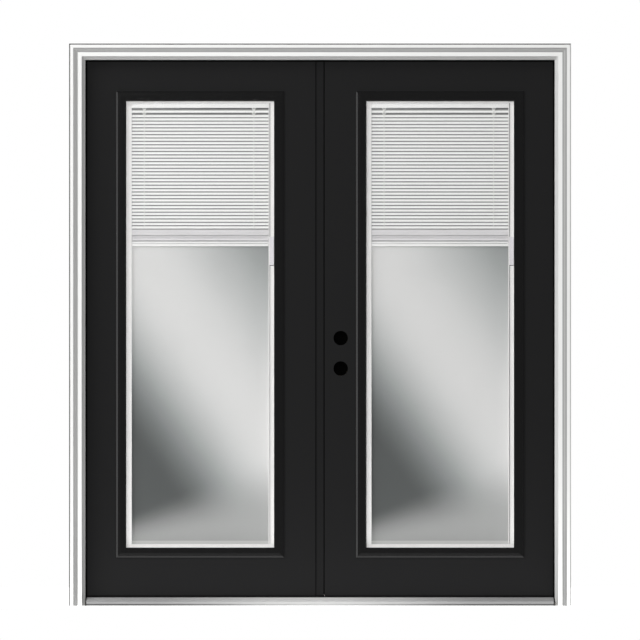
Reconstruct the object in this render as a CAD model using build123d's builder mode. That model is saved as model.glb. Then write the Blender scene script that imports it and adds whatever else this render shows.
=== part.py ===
from build123d import *
import os
from math import cos, radians, sin

# Inswing double door unit: two glazed slabs with blinds between their panes, hung in a wooden frame.
# The outside of the unit faces -Y and the room +Y. X runs along the sill and Z is up.
# Y is zero at the outer edge of the jambs, Z at the underside of the sill, X midway between the jambs.
# All sizes are in millimetres.

# Slabs
slab_thickness = 44.45
skin_thickness = 0.8
hinge_stile_width = 38.0
lock_stile_width = 32.0
top_rail_height = 38.0
bottom_rail_height = 50.0

# Gaps round the slabs
meeting_gap = 34.0
hinge_gap = 3.2
head_gap = 3.2
bottom_gap = 4.0

# Jambs
jamb_depth = 115.9
jamb_thickness = 19.05
stop_projection = 6.4
stop_edge_radius = 1.2
seal_space = 2.95

# Weather seals, which lie between the stops and the slabs
seal_lip = 6.4
seal_clearance = 0.3
seal_foot = 1.0

# Brickmould, the moulding round the outside
brickmould_width = 47.6
brickmould_thickness = 31.75
brickmould_lap = 12.85
mould_outer_flat = 15.6
mould_inner_flat = 15.4
mould_inner_thickness = 21.5
mould_quirk = 1.6
mould_swell = 1.5
mould_edge_radius = 1.6
mould_back_bevel = 4.0
mould_back_drop = 2.2

# Sill
sill_height = 33.4
deck_front = 27.0
deck_foot_height = 5.5
deck_foot_setback = 2.0
deck_groove_height = 1.8
deck_groove_depth = 3.6
deck_nose_height = 17.0
deck_nose_bevel = 1.6
deck_back_height = 28.6
deck_wall = 2.0
deck_nose_wall = 5.6
deck_lip_height = 31.4
deck_rear = 72.2
rib_pitch = 8.6
rib_width = 3.4
rib_height = 1.1
rib_start = 6.0
base_shelf_height = 16.0
cap_edge_bevel = 3.0

# Lites, the glazed panels, and the margins of slab round them
lite_width = 628.0
lite_height = 1745.0
lite_side_margin = 117.8
lite_top_margin = 120.0
lite_bottom_margin = 141.6
lite_face = 37.5
lite_outer_edge = 6.2
lite_bevel_run = 6.3
lite_bevel_rise = 2.8
lite_crown_rise = 10.6
lite_crown_run = 11.0
lite_inner_slope = 3.0
lite_inner_drop = 2.6
lite_wall = 6.0
cutout_inset = 26.0
pane_cover = 7.0
pane_thickness = 3.0
cavity_depth = 19.4

# Blind frame between the panes
frame_inset = 3.0
track_reveal = 20.2
top_bar_reveal = 6.0
bottom_bar_reveal = 12.7
track_web = 3.3
track_slot = 2.6
track_outer_wall = 4.2
track_plate = 2.0
track_plate_setback = 3.4

# Blind
headrail_height = 18.0
headrail_wall = 1.2
headrail_depth = 17.0
headrail_clearance = 0.3
slat_count = 35
slat_width = 14.6
slat_thickness = 0.45
slat_crown = 1.0
slat_tilt = 72.0
slat_pitch = 12.63
first_slat_drop = 11.3
second_slat_drop = 27.9
slat_end_clearance = 0.6
ladder_width = 1.6
ladder_thickness = 0.8
ladder_clearance = 0.12
ladder_left = 209.0
ladder_right = 201.0
stack_height = 47.9
stack_depth = 14.4
stack_ridges = 30
stack_ridge_depth = 0.7
rail_height = 17.5
rail_depth = 15.2
rail_edge_radius = 2.0
stack_top_drop = 453.0

# Operator: a carriage in the right hand track and a handle in the room
carriage_height = 108.0
carriage_drop = 482.6
carriage_clearance = 0.3
carriage_edge = 0.8
handle_height = 76.0
handle_depth = 13.0
handle_bevel = 4.0
handle_grooves = 5
handle_groove_pitch = 7.0
handle_groove_radius = 1.4
handle_groove_sides = 6

# Door sweep
sweep_depth = 34.0
sweep_base = 1.4
sweep_fin = 1.3
sweep_fins = 4
sweep_clearance = 0.3
sweep_inset = 1.0

# Astragal and its flush bolts, on the passive left slab
astragal_clearance = 3.2
astragal_setback = 2.0
astragal_edge_bevel = 1.2
astragal_seal_projection = 2.5
astragal_boot_reach = 1.4
astragal_seal_kerf = 3.0
astragal_seal_width = 4.0
astragal_seal_inset = 2.5
bolt_radius = 4.76
bolt_clearance = 0.06
bolt_length = 230.0
bolt_tip_setback = 1.0
bolt_throw = 19.0
bolt_hole_radius = 6.35
bolt_hole_floor = 8.0
bolt_cross_centre = 3.0
thumb_height = 20.0
thumb_width = 7.0
thumb_drop = 190.0
thumb_clearance = 0.3
thumb_recess = 0.5

# Lock preparation in the active right slab
backset = 60.3
lock_bore_radius = 26.99
edge_bore_radius = 12.7
upper_lock_height = 963.1
lock_bore_spacing = 113.9
lock_block_width = 92.0
lock_block_margin = 57.0

# Hinges
hinge_length = 101.6
leaf_thickness = 2.4
leaf_depth = 32.0
knuckle_radius = 6.35
knuckle_count = 5
knuckle_end_gap = 0.3
knuckle_clearance = 0.3
barrel_offset = 6.8
leaf_overlap = 2.9
pin_radius = 3.05
pin_clearance = 0.05
pin_head_radius = 5.4
pin_head_height = 2.6
turned_sides = 12
hinge_top_margin = 177.8
hinge_bottom_margin = 279.4

# Sizes of the slabs
slab_width = lite_width + 2 * lite_side_margin
slab_height = lite_bottom_margin + lite_height + lite_top_margin

# Places across the unit
lock_edge = meeting_gap / 2
hinge_edge = lock_edge + slab_width
rabbet_face = hinge_edge + hinge_gap
stop_face = rabbet_face - stop_projection
jamb_outer = rabbet_face + jamb_thickness
slab_centre = (lock_edge + hinge_edge) / 2
hinge_axis = hinge_edge + hinge_gap / 2

# Places through the unit
slab_front = jamb_depth - slab_thickness
slab_middle = jamb_depth - slab_thickness / 2
core_front = slab_front + skin_thickness
core_back = jamb_depth - skin_thickness
stop_depth = slab_front - seal_space
barrel_depth = jamb_depth + barrel_offset
cavity_front = slab_middle - cavity_depth / 2
cavity_back = slab_middle + cavity_depth / 2
pane_front = cavity_front - pane_thickness
pane_back = cavity_back + pane_thickness
plate_middle = cavity_front + track_plate_setback

# Heights
slab_bottom = sill_height + bottom_gap
slab_top = slab_bottom + slab_height
head_rabbet = slab_top + head_gap
head_stop = head_rabbet - stop_projection
jamb_top = head_rabbet + jamb_thickness
lite_bottom = slab_bottom + lite_bottom_margin
lite_top = lite_bottom + lite_height
lite_middle = (lite_bottom + lite_top) / 2

# Sizes of the glazing
sight_width = lite_width - 2 * lite_face
sight_height = lite_height - 2 * lite_face
sight_top = lite_top - lite_face
sight_bottom = lite_bottom + lite_face
cutout_width = lite_width - 2 * cutout_inset
cutout_height = lite_height - 2 * cutout_inset
pane_width = sight_width + 2 * pane_cover
pane_height = sight_height + 2 * pane_cover
track_inner = sight_width / 2 - track_reveal
frame_half_width = pane_width / 2 - frame_inset

# Heights in the blind
headrail_top = sight_top - top_bar_reveal - headrail_clearance
headrail_bottom = headrail_top - headrail_height
stack_top = headrail_bottom - stack_top_drop
rail_top = stack_top - stack_height
rail_bottom = rail_top - rail_height
carriage_top = headrail_bottom - carriage_drop

# Lock places
lock_x = lock_edge + backset
lock_heights = (slab_bottom + upper_lock_height, slab_bottom + upper_lock_height - lock_bore_spacing)

# Hinge places
hinge_low = slab_bottom + hinge_bottom_margin + hinge_length / 2
hinge_high = slab_top - hinge_top_margin - hinge_length / 2
hinge_heights = (hinge_low, (hinge_low + hinge_high) / 2, hinge_high)
knuckle_pitch = hinge_length / knuckle_count

# Bolt places
astragal_face = lock_edge - astragal_clearance
bolt_x = (astragal_face - lock_edge) / 2
bolt_y = slab_middle + bolt_cross_centre

sides = {"left": -1, "right": 1}


def keep(piece, name):
    piece.part.label = name
    export_step(piece.part, f"parts/{name}.step")


def block(x, y, z, mode=Mode.ADD):
    """A box between two places on each axis, each given as a pair."""
    centre = [(pair[0] + pair[1]) / 2 for pair in (x, y, z)]
    lengths = [abs(pair[1] - pair[0]) for pair in (x, y, z)]
    with Locations(tuple(centre)):
        Box(*lengths, mode=mode)


def across(side, first, last):
    """A pair of X places given as distances from the middle of the unit."""
    return (side * first, side * last)


def turned(x, y, z, corner_radius):
    """An upright turned piece with flat sides, between two heights, its corners at a radius."""
    with BuildSketch(Plane(origin=(x, y, min(z)))) as outline:
        RegularPolygon(corner_radius, turned_sides)
    extrude(outline.sketch, amount=abs(z[1] - z[0]))


def drilled(x, y, z, flat_radius):
    """An upright hole with flat sides that a round of the given radius just fits."""
    with BuildSketch(Plane(origin=(x, y, min(z)))) as outline:
        RegularPolygon(flat_radius, turned_sides, major_radius=False)
    extrude(outline.sketch, amount=abs(z[1] - z[0]), mode=Mode.SUBTRACT)


def leaf_pockets(side, face, depth):
    """The shallow pockets that let a hinge leaf lie flush."""
    for height in hinge_heights:
        block(
            across(side, face, face + depth),
            (jamb_depth - leaf_depth, jamb_depth + 1),
            (height - hinge_length / 2, height + hinge_length / 2),
            Mode.SUBTRACT,
        )


# Jambs: one rabbeted board each, the stop standing from it on the outer side
def jamb_edges(piece, x):
    front = piece.edges().filter_by(Axis.Z).filter_by_position(Axis.X, x - 0.01, x + 0.01)
    return front.filter_by_position(Axis.Y, -0.01, stop_depth + 0.01)


def side_jamb(side, name):
    with BuildPart() as jamb:
        block(across(side, rabbet_face, jamb_outer), (0, jamb_depth), (0, jamb_top))
        block(across(side, stop_face, rabbet_face), (0, stop_depth), (0, head_stop))
        fillet(jamb_edges(jamb, side * stop_face), stop_edge_radius)
        leaf_pockets(side, rabbet_face, leaf_thickness)
    keep(jamb, name)


def head_jamb():
    with BuildPart() as jamb:
        block((-rabbet_face, rabbet_face), (0, jamb_depth), (head_rabbet, jamb_top))
        block((-rabbet_face, rabbet_face), (0, stop_depth), (head_stop, head_rabbet))
        low = jamb.edges().filter_by(Axis.X).filter_by_position(Axis.Z, head_stop - 0.01, head_stop + 0.01)
        fillet(low, stop_edge_radius)
        with Locations((bolt_x, bolt_y, (head_rabbet + jamb_top) / 2)):
            Cylinder(bolt_hole_radius, jamb_thickness + 2, mode=Mode.SUBTRACT)
    keep(jamb, "head_jamb")


# Brickmould: an ogee between two flats, mitred at the head
def mould_outline(place):
    """The moulding's section. place(w, t) puts a point w from its inner edge and t before the jambs."""
    thick = brickmould_thickness
    thin = mould_inner_thickness
    crest = brickmould_width - mould_outer_flat
    high = (crest, thick - mould_quirk)
    low = (mould_inner_flat, thin + mould_quirk)
    middle = ((high[0] + low[0]) / 2, (high[1] + low[1]) / 2)
    swell = ((high[0] + middle[0]) / 2 + mould_swell / 2, (high[1] + middle[1]) / 2 + mould_swell)
    hollow = ((low[0] + middle[0]) / 2 - mould_swell / 2, (low[1] + middle[1]) / 2 - mould_swell)
    edge = mould_edge_radius
    Polyline(
        place(mould_inner_flat, thin),
        place(edge, thin),
        place(0, thin - edge),
        place(0, 0),
        place(brickmould_width, 0),
        place(brickmould_width, thick - mould_back_drop),
        place(brickmould_width - mould_back_bevel, thick),
        place(crest, thick),
        place(*high),
    )
    ThreePointArc(place(*high), place(*swell), place(*middle))
    ThreePointArc(place(*middle), place(*hollow), place(*low))
    Line(place(*low), place(mould_inner_flat, thin))


mould_inner = jamb_outer - brickmould_lap
mould_head = jamb_top - brickmould_lap


def mitre(side):
    return Plane(origin=(side * mould_inner, 0, mould_head), x_dir=(0, 1, 0), z_dir=(-side, 0, 1))


def side_brickmould(side, name):
    with BuildPart() as mould:
        with BuildSketch(Plane.XY):
            with BuildLine():
                mould_outline(lambda w, t: (side * (mould_inner + w), -t))
            make_face()
        extrude(amount=mould_head + brickmould_width)
        split(bisect_by=mitre(side), keep=Keep.BOTTOM)
    keep(mould, name)


def head_brickmould():
    reach = mould_inner + brickmould_width
    with BuildPart() as mould:
        with BuildSketch(Plane.YZ):
            with BuildLine():
                mould_outline(lambda w, t: (-t, mould_head + w))
            make_face()
        extrude(amount=reach, both=True)
        split(bisect_by=mitre(-1), keep=Keep.TOP)
        split(bisect_by=mitre(1), keep=Keep.TOP)
    keep(mould, "head_brickmould")


# Sill: a solid base, a ribbed deck that sheds water, and a cap under the slabs
deck_top_start = (deck_nose_bevel - deck_front, deck_nose_height + deck_nose_bevel)
deck_back = deck_rear - deck_wall


def deck_slope(y):
    """Height of the deck's top at a place through the unit, between its ribs."""
    share = (y - deck_top_start[0]) / (deck_back - deck_top_start[0])
    return deck_top_start[1] + share * (deck_back_height - deck_top_start[1])


def deck_ribs():
    """The points of the ribs along the deck's top, from the nose to the back."""
    points = []
    y = deck_top_start[0] + rib_start
    while y + rib_width < deck_back - rib_width:
        bevel = rib_height / 2
        points.append((y, deck_slope(y)))
        points.append((y + bevel, deck_slope(y + bevel) + rib_height))
        points.append((y + rib_width - bevel, deck_slope(y + rib_width - bevel) + rib_height))
        points.append((y + rib_width, deck_slope(y + rib_width)))
        y += rib_pitch
    return points


def sill_deck():
    foot = deck_foot_setback - deck_front
    groove = deck_groove_depth - deck_front
    groove_top = deck_foot_height + deck_groove_height
    inner = deck_nose_wall - deck_front
    with BuildPart() as deck:
        with BuildSketch(Plane.YZ):
            with BuildLine():
                Polyline(
                    (inner, 0),
                    (foot, 0),
                    (foot, deck_foot_height),
                    (groove, deck_foot_height),
                    (groove, groove_top),
                    (-deck_front, groove_top),
                    (-deck_front, deck_nose_height),
                    deck_top_start,
                    *deck_ribs(),
                    (deck_back, deck_back_height),
                    (deck_back, deck_lip_height),
                    (deck_rear, deck_lip_height),
                    (deck_rear, base_shelf_height),
                    (deck_back, base_shelf_height),
                    (deck_back, deck_back_height - deck_wall),
                    (inner, deck_slope(inner) - deck_wall),
                    close=True,
                )
            make_face()
        extrude(amount=stop_face, both=True)
    keep(deck, "sill_deck")


def sill_base():
    inner = deck_nose_wall - deck_front
    with BuildPart() as base:
        with BuildSketch(Plane.YZ):
            with BuildLine():
                Polyline(
                    (inner, 0),
                    (inner, deck_slope(inner) - deck_wall),
                    (deck_back, deck_back_height - deck_wall),
                    (deck_back, base_shelf_height),
                    (jamb_depth, base_shelf_height),
                    (jamb_depth, 0),
                    close=True,
                )
            make_face()
        extrude(amount=rabbet_face, both=True)
        for side in sides.values():
            notch = across(side, stop_face, rabbet_face + 1)
            block(notch, (inner - 1, stop_depth), (-1, sill_height), Mode.SUBTRACT)
        hole = (bolt_hole_floor, base_shelf_height + 1)
        with Locations((bolt_x, bolt_y, (hole[0] + hole[1]) / 2)):
            Cylinder(bolt_hole_radius, hole[1] - hole[0], mode=Mode.SUBTRACT)
    keep(base, "sill_base")


def sill_cap():
    with BuildPart() as cap:
        block((-rabbet_face, rabbet_face), (deck_rear, jamb_depth), (base_shelf_height, sill_height))
        top = cap.edges().filter_by(Axis.X).group_by(Axis.Z)[-1]
        chamfer(top.sort_by(Axis.Y)[0], cap_edge_bevel)
        fillet(top.sort_by(Axis.Y)[-1], cap_edge_bevel)
        with Locations((bolt_x, bolt_y, (base_shelf_height + sill_height) / 2)):
            Cylinder(bolt_hole_radius, sill_height, mode=Mode.SUBTRACT)
    keep(cap, "sill_cap")


# Weather seals: a strip on each stop with a lip that shows past the stop's edge
seal_front = (stop_depth, slab_front - seal_clearance)
seal_bottom = sill_height + seal_clearance
seal_corner = head_stop - seal_lip - seal_clearance


def side_seal(side, name):
    with BuildPart() as seal:
        reach = across(side, stop_face - seal_lip, rabbet_face - seal_foot)
        block(reach, seal_front, (seal_bottom, seal_corner))
    keep(seal, name)


def head_seal():
    with BuildPart() as seal:
        reach = rabbet_face - seal_foot
        block((-reach, reach), seal_front, (head_stop - seal_lip, head_rabbet - seal_foot))
    keep(seal, "head_seal")


# Hinges: butt hinges let into the jamb and the slab, with the barrel in the room
def hinge_leaves(side, face, knuckles, name):
    """Three leaves that reach in from a distance off the middle, with their share of the knuckles."""
    axis = (side * hinge_axis, barrel_depth)
    with BuildPart() as leaves:
        for height in hinge_heights:
            bottom = height - hinge_length / 2
            top = bottom + hinge_length
            block(
                across(side, face, face + leaf_thickness),
                (jamb_depth - leaf_depth, jamb_depth + leaf_overlap),
                (bottom, top),
            )
            for number in range(knuckle_count):
                low = bottom + number * knuckle_pitch
                high = low + knuckle_pitch
                half_gap = knuckle_end_gap / 2
                if number % 2 == knuckles:
                    turned(*axis, (low + half_gap, high - half_gap), knuckle_radius)
                else:
                    room = knuckle_radius + knuckle_clearance
                    drilled(*axis, (low - half_gap, high + half_gap), room)
            drilled(*axis, (bottom - 1, top + 1), pin_radius + pin_clearance)
    keep(leaves, name)


def hinge_pins(side, name):
    axis = (side * hinge_axis, barrel_depth)
    with BuildPart() as pins:
        for height in hinge_heights:
            with Locations((*axis, height)):
                Cylinder(pin_radius, hinge_length)
            for end in (-1, 1):
                seat = height + end * hinge_length / 2
                turned(*axis, (seat, seat + end * pin_head_height), pin_head_radius)
    keep(pins, name)


# Slabs: skins over stiles, rails and a foam core, all cut out for the lite
def cutout(side):
    centre = side * slab_centre
    block(
        (centre - cutout_width / 2, centre + cutout_width / 2),
        (slab_front - 1, jamb_depth + 1),
        (lite_middle - cutout_height / 2, lite_middle + cutout_height / 2),
        Mode.SUBTRACT,
    )


def lock_bores(side):
    """The two bores across the active slab."""
    if side < 0:
        return
    with Locations(*[(lock_x, slab_middle, height) for height in lock_heights]):
        Cylinder(lock_bore_radius, slab_thickness + 2, rotation=(90, 0, 0), mode=Mode.SUBTRACT)


def edge_bores(side):
    """The two bores in from the active slab's edge, which meet the bores across it."""
    if side < 0:
        return
    with Locations(*[((lock_edge + lock_x) / 2, slab_middle, height) for height in lock_heights]):
        Cylinder(edge_bore_radius, backset, rotation=(0, 90, 0), mode=Mode.SUBTRACT)


def skin(side, y, name):
    with BuildPart() as sheet:
        block(across(side, lock_edge, hinge_edge), y, (slab_bottom, slab_top))
        cutout(side)
        lock_bores(side)
        leaf_pockets(side, hinge_edge - leaf_thickness, leaf_thickness)
    keep(sheet, name)


def hinge_stile(side, name):
    with BuildPart() as stile:
        reach = across(side, hinge_edge - hinge_stile_width, hinge_edge)
        block(reach, (core_front, core_back), (slab_bottom, slab_top))
        leaf_pockets(side, hinge_edge - leaf_thickness, leaf_thickness)
    keep(stile, name)


def lock_stile(side, name):
    with BuildPart() as stile:
        reach = across(side, lock_edge, lock_edge + lock_stile_width)
        block(reach, (core_front, core_back), (slab_bottom, slab_top))
        edge_bores(side)
    keep(stile, name)


rail_reach = (lock_edge + lock_stile_width, hinge_edge - hinge_stile_width)


def slab_rail(side, z, name):
    with BuildPart() as rail:
        block(across(side, *rail_reach), (core_front, core_back), z)
    keep(rail, name)


block_reach = (lock_edge + lock_stile_width, lock_edge + lock_stile_width + lock_block_width)
block_heights = (lock_heights[1] - lock_block_margin, lock_heights[0] + lock_block_margin)


def core(side, name):
    with BuildPart() as foam:
        heights = (slab_bottom + bottom_rail_height, slab_top - top_rail_height)
        block(across(side, *rail_reach), (core_front, core_back), heights)
        cutout(side)
        if side > 0:
            block(block_reach, (core_front - 1, core_back + 1), block_heights, Mode.SUBTRACT)
    keep(foam, name)


def lock_block():
    with BuildPart() as timber:
        block(block_reach, (core_front, core_back), block_heights)
        lock_bores(1)
        edge_bores(1)
    keep(timber, "right_lock_block")


# Lite frames: a moulded ring on each face of the slab whose inner wall holds the glass
def lite_section(place):
    """The ring's section. place(w, t) puts a point w in from its edge and t out from the slab's face."""
    glass = -(pane_front - slab_front)
    crest = lite_bevel_rise + lite_outer_edge
    inner = lite_face - lite_inner_slope
    Polyline(
        place(0, 0),
        place(0, lite_outer_edge),
        place(lite_bevel_run, crest),
        place(lite_bevel_run + lite_crown_run, lite_crown_rise),
        place(inner, lite_crown_rise),
        place(lite_face, lite_crown_rise - lite_inner_drop),
        place(lite_face, glass),
        place(lite_face - lite_wall, glass),
        place(lite_face - lite_wall, 0),
        close=True,
    )


def lite_frame(side, face, outward, name):
    """A ring swept round the lite. outward is -1 on the outer face and 1 on the room face."""
    centre = side * slab_centre
    corners = [
        (centre + x * lite_width / 2, face, lite_middle + z * lite_height / 2)
        for x, z in ((-1, -1), (1, -1), (1, 1), (-1, 1))
    ]
    start = (centre, face, lite_bottom)
    with BuildPart() as ring:
        with BuildLine() as path:
            Polyline(start, corners[1], corners[2], corners[3], corners[0], close=True)
        with BuildSketch(Plane(origin=start, x_dir=(0, 0, 1), z_dir=(1, 0, 0))):
            with BuildLine():
                lite_section(lambda w, t: (w, -outward * t))
            make_face()
        sweep(path=path.line, transition=Transition.RIGHT)
    keep(ring, name)


def pane(side, y, name):
    centre = side * slab_centre
    with BuildPart() as glass:
        block(
            (centre - pane_width / 2, centre + pane_width / 2),
            y,
            (lite_middle - pane_height / 2, lite_middle + pane_height / 2),
        )
    keep(glass, name)


# Blind frame: the white ring between the panes, with the operator's track on its right
def blind_frame(side, name):
    centre = side * slab_centre
    outer = frame_half_width
    low = lite_middle - pane_height / 2 + frame_inset
    high = lite_middle + pane_height / 2 - frame_inset
    inside = (sight_bottom + bottom_bar_reveal, sight_top - top_bar_reveal)
    slot = (centre + track_inner + track_web, centre + outer - track_outer_wall)
    with BuildPart() as ring:
        block((centre - outer, centre + outer), (cavity_front, cavity_back), (low, high))
        block(
            (centre - track_inner, centre + track_inner),
            (cavity_front - 1, cavity_back + 1),
            inside,
            Mode.SUBTRACT,
        )
        block(slot, (cavity_front - 1, cavity_back + 1), inside, Mode.SUBTRACT)
        plate = (plate_middle - track_plate / 2, plate_middle + track_plate / 2)
        block((slot[0] + track_slot, slot[1]), plate, inside)
    keep(ring, name)


def blind_headrail(side, name):
    """A channel, open at the top."""
    centre = side * slab_centre
    half = track_inner - headrail_clearance
    front = slab_middle - headrail_depth / 2
    back = slab_middle + headrail_depth / 2
    with BuildPart() as channel:
        block((centre - half, centre + half), (front, back), (headrail_bottom, headrail_top))
        low = channel.edges().filter_by(Axis.X).group_by(Axis.Z)[0]
        fillet(low, headrail_wall)
        block(
            (centre - half + headrail_wall, centre + half - headrail_wall),
            (front + headrail_wall, back - headrail_wall),
            (headrail_bottom + headrail_wall, headrail_top + 1),
            Mode.SUBTRACT,
        )
    keep(channel, name)


def slat_places():
    """Heights of the hanging slats below the headrail: the first hangs a little apart."""
    places = [headrail_bottom - first_slat_drop]
    for number in range(slat_count - 1):
        places.append(headrail_bottom - second_slat_drop - number * slat_pitch)
    return places


def tilted(height, along, off):
    """A point of a slat's section: along its width and off its middle, tilted, at a height."""
    tilt = radians(slat_tilt)
    return (
        slab_middle + along * cos(tilt) - off * sin(tilt),
        height + along * sin(tilt) + off * cos(tilt),
    )


def slat_section(height):
    half = slat_width / 2
    low = -slat_crown / 2
    top = low + slat_thickness
    ThreePointArc(
        tilted(height, -half, low), tilted(height, 0, low + slat_crown), tilted(height, half, low)
    )
    Line(tilted(height, half, low), tilted(height, half, top))
    ThreePointArc(
        tilted(height, half, top), tilted(height, 0, top + slat_crown), tilted(height, -half, top)
    )
    Line(tilted(height, -half, top), tilted(height, -half, low))


ladder_reach = slat_width / 2 * cos(radians(slat_tilt)) + slat_crown / 2 + ladder_clearance


def blind_slats(side, name):
    """The hanging slats and the two ladders that carry them."""
    centre = side * slab_centre
    with BuildPart() as slats:
        for height in slat_places():
            with BuildSketch(Plane.YZ.offset(centre)):
                with BuildLine():
                    slat_section(height)
                make_face()
            extrude(amount=track_inner - slat_end_clearance, both=True)
        for x in (centre - ladder_left, centre + ladder_right):
            for facing in (-1, 1):
                near = slab_middle + facing * ladder_reach
                block(
                    (x - ladder_width / 2, x + ladder_width / 2),
                    (near, near + facing * ladder_thickness),
                    (stack_top, headrail_bottom),
                )
    keep(slats, name)


def blind_stack(side, name):
    """The slats that lie gathered on the bottom rail."""
    centre = side * slab_centre
    pitch = stack_height / stack_ridges
    front = slab_middle - stack_depth / 2
    back = slab_middle + stack_depth / 2
    outline = []
    for number in range(stack_ridges):
        outline.append((front, rail_top + number * pitch))
        outline.append((front + stack_ridge_depth, rail_top + (number + 0.5) * pitch))
    outline.append((front, stack_top))
    mirrored = [(front + back - y, z) for y, z in reversed(outline)]
    with BuildPart() as stack:
        with BuildSketch(Plane.YZ.offset(centre)):
            with BuildLine():
                Polyline(*outline, *mirrored, close=True)
            make_face()
        extrude(amount=track_inner - slat_end_clearance, both=True)
    keep(stack, name)


def blind_bottom_rail(side, name):
    centre = side * slab_centre
    half = track_inner - slat_end_clearance
    with BuildPart() as rail:
        block(
            (centre - half, centre + half),
            (slab_middle - rail_depth / 2, slab_middle + rail_depth / 2),
            (rail_bottom, rail_top),
        )
        fillet(rail.edges().filter_by(Axis.X), rail_edge_radius)
    keep(rail, name)


def blind_operator(side, name):
    """The carriage grips the track's plate from both sides. The handle follows it on the room's pane."""
    centre = side * slab_centre
    gap = carriage_clearance
    left = centre + track_inner + track_web + gap
    right = centre + frame_half_width - track_outer_wall - gap
    plate = track_plate / 2 + gap
    carriage_heights = (carriage_top - carriage_height, carriage_top)
    with BuildPart() as operator:
        block((left, right), (cavity_front + gap, cavity_back - gap), carriage_heights)
        chamfer(operator.edges().filter_by(Axis.X), carriage_edge)
        plate_room = (left + track_slot - 2 * gap, right + 1)
        block(
            plate_room,
            (plate_middle - plate, plate_middle + plate),
            (carriage_heights[0] - 1, carriage_top + 1),
            Mode.SUBTRACT,
        )
        middle = carriage_top - carriage_height / 2
        near = pane_back + gap
        far = near + handle_depth
        with BuildSketch(Plane.YZ.offset(left)):
            with BuildLine():
                Polyline(
                    (near, middle - handle_height / 2),
                    (near, middle + handle_height / 2),
                    (far - handle_bevel, middle + handle_height / 2),
                    (far, middle + handle_height / 2 - 2 * handle_bevel),
                    (far, middle - handle_height / 2 + 2 * handle_bevel),
                    (far - handle_bevel, middle - handle_height / 2),
                    close=True,
                )
            make_face()
            for number in range(handle_grooves):
                shift = (number - (handle_grooves - 1) / 2) * handle_groove_pitch
                with Locations((far, middle + shift)):
                    RegularPolygon(handle_groove_radius, handle_groove_sides, mode=Mode.SUBTRACT)
        extrude(amount=right - left)
    keep(operator, name)


def door_sweep(side, name):
    """A base under the slab with fins that reach towards the sill's cap."""
    tip = sill_height + sweep_clearance
    with BuildPart() as sweep_strip:
        with BuildSketch(Plane.YZ.offset(side * slab_centre)):
            with Locations((slab_middle, slab_bottom - sweep_base / 2)):
                Rectangle(sweep_depth, sweep_base)
            for number in range(sweep_fins):
                place = (number / (sweep_fins - 1) - 0.5) * (sweep_depth - sweep_fin)
                with Locations((slab_middle + place, (slab_bottom + tip) / 2)):
                    Rectangle(sweep_fin, slab_bottom - tip)
        extrude(amount=slab_width / 2 - sweep_inset, both=True)
    keep(sweep_strip, name)


# Astragal: closes the gap between the slabs and carries the flush bolts
bolt_tips = {"top": slab_top - bolt_tip_setback, "bottom": slab_bottom + bolt_tip_setback}


def bolt_span(end):
    """The bolt's tip and tail, and the thumb piece's middle, at rest."""
    inward = -1 if end == "top" else 1
    tip = bolt_tips[end]
    return (tip, tip + inward * bolt_length, tip + inward * thumb_drop, inward)


def astragal():
    front = slab_front + astragal_setback
    back = jamb_depth - astragal_setback
    with BuildPart() as bar:
        block((-lock_edge, astragal_face), (front, back), (slab_bottom, slab_top))
        chamfer(bar.edges().filter_by(Axis.Z), astragal_edge_bevel)
        kerf = front + astragal_seal_inset
        block(
            (astragal_face - astragal_seal_kerf, astragal_face + 1),
            (kerf, kerf + astragal_seal_width),
            (slab_bottom - 1, slab_top + 1),
            Mode.SUBTRACT,
        )
        for end in bolt_tips:
            tip, tail, thumb, inward = bolt_span(end)
            mouth = tip - inward * 2 * bolt_tip_setback
            floor = tail + inward * thumb_clearance
            drilled(bolt_x, bolt_y, (mouth, floor), bolt_radius + bolt_clearance)
            near = thumb + inward * (thumb_height / 2 + thumb_clearance)
            far = thumb - inward * (thumb_height / 2 + bolt_throw + thumb_clearance)
            half = thumb_width / 2 + thumb_clearance
            block((bolt_x, astragal_face + 1), (bolt_y - half, bolt_y + half), (near, far), Mode.SUBTRACT)
    keep(bar, "astragal")


def astragal_seal():
    kerf = slab_front + astragal_setback + astragal_seal_inset
    with BuildPart() as seal:
        reach = (astragal_face - astragal_seal_kerf, astragal_face + astragal_seal_projection)
        block(reach, (kerf, kerf + astragal_seal_width), (slab_bottom, slab_top))
        tip = seal.edges().filter_by(Axis.Z).group_by(Axis.X)[-1]
        fillet(tip, astragal_seal_width * 0.4)
    keep(seal, "astragal_seal")


def astragal_boot():
    """A pad under the astragal that fills the step between the two door sweeps, bored for the bolt."""
    with BuildPart() as boot:
        block(
            (-lock_edge, astragal_face + astragal_boot_reach),
            (slab_middle - sweep_depth / 2, slab_middle + sweep_depth / 2),
            (sill_height + sweep_clearance, slab_bottom),
        )
        drilled(bolt_x, bolt_y, (sill_height, slab_bottom + 1), bolt_hole_radius)
    keep(boot, "astragal_boot")


def flush_bolt(end, name):
    tip, tail, thumb, inward = bolt_span(end)
    with BuildPart() as bolt:
        turned(bolt_x, bolt_y, (tip, tail), bolt_radius)
        block(
            (bolt_x, astragal_face - thumb_recess),
            (bolt_y - thumb_width / 2, bolt_y + thumb_width / 2),
            (thumb - thumb_height / 2, thumb + thumb_height / 2),
        )
    keep(bolt, name)


os.makedirs("parts", exist_ok=True)

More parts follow.
